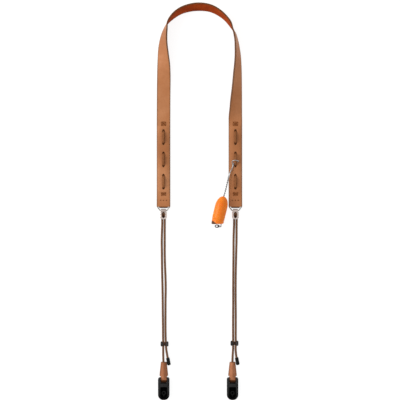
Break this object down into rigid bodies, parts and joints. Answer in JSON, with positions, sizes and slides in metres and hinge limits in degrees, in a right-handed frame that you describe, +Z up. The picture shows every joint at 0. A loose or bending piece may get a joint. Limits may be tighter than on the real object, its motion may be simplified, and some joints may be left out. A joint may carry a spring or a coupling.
{
  "type": "camera neck strap",
  "caption": "Leather camera neck strap lying flat: laced folded band, metal eyes, doubled cords with sliders, leather tabs and hinged quick-release connectors, a capsule hooked on one leg.",
  "frame": {"origin": "middle of the strap's footprint, on the table that it lies on", "axes": "+Y along the strap towards the arch that goes round the neck, +X from the left leg to the right one, +Z up from the table"},
  "size_m": [0.145, 0.6716, 0.0232],
  "materials": {
    "band_leather": "smooth brown leather, semi-matt, burnished darker edges",
    "suede": "deep red-brown napped suede",
    "lacing_leather": "round dark brown leather lace",
    "tab_leather": "tan leather, stitched along its edges",
    "metal": "satin nickel with a warm tone",
    "cord": "round, tightly braided brown cord",
    "black_plastic": "black moulded plastic, fine satin texture",
    "orange_plastic": "orange moulded plastic, slightly translucent and glossy",
    "wire": "bare twisted steel wire"
  },
  "bodies": {
    "strap": {"neck_band": "band_leather", "band_lining": "suede", "lacing_left": "lacing_leather", "lacing_right": "lacing_leather", "ring_left": "metal", "ring_right": "metal", "cord_eye_left": "metal", "cord_eye_right": "metal", "cord_left": "cord", "cord_right": "cord", "cord_lock_left": "black_plastic", "cord_lock_right": "black_plastic", "cord_end_left": "black_plastic", "cord_end_right": "black_plastic", "tab_left": "tab_leather", "tab_right": "tab_leather", "wire_loop": "wire", "capsule": "orange_plastic", "capsule_hook": "wire", "capsule_ring": "wire"},
    "left_connector": {"connector_left": "black_plastic"},
    "right_connector": {"connector_right": "black_plastic"}
  },
  "joints": [
    {"name": "left_connector_hinge", "type": "hinge", "parent": "strap", "child": "left_connector", "pos_m": [-0.06054, -0.30334, 0.0045], "axis": [1, 0, 0], "range_deg": [-90, 90]},
    {"name": "right_connector_hinge", "type": "hinge", "parent": "strap", "child": "right_connector", "pos_m": [0.05606, -0.30334, 0.0045], "axis": [1, 0, 0], "range_deg": [-90, 90]}
  ]
}
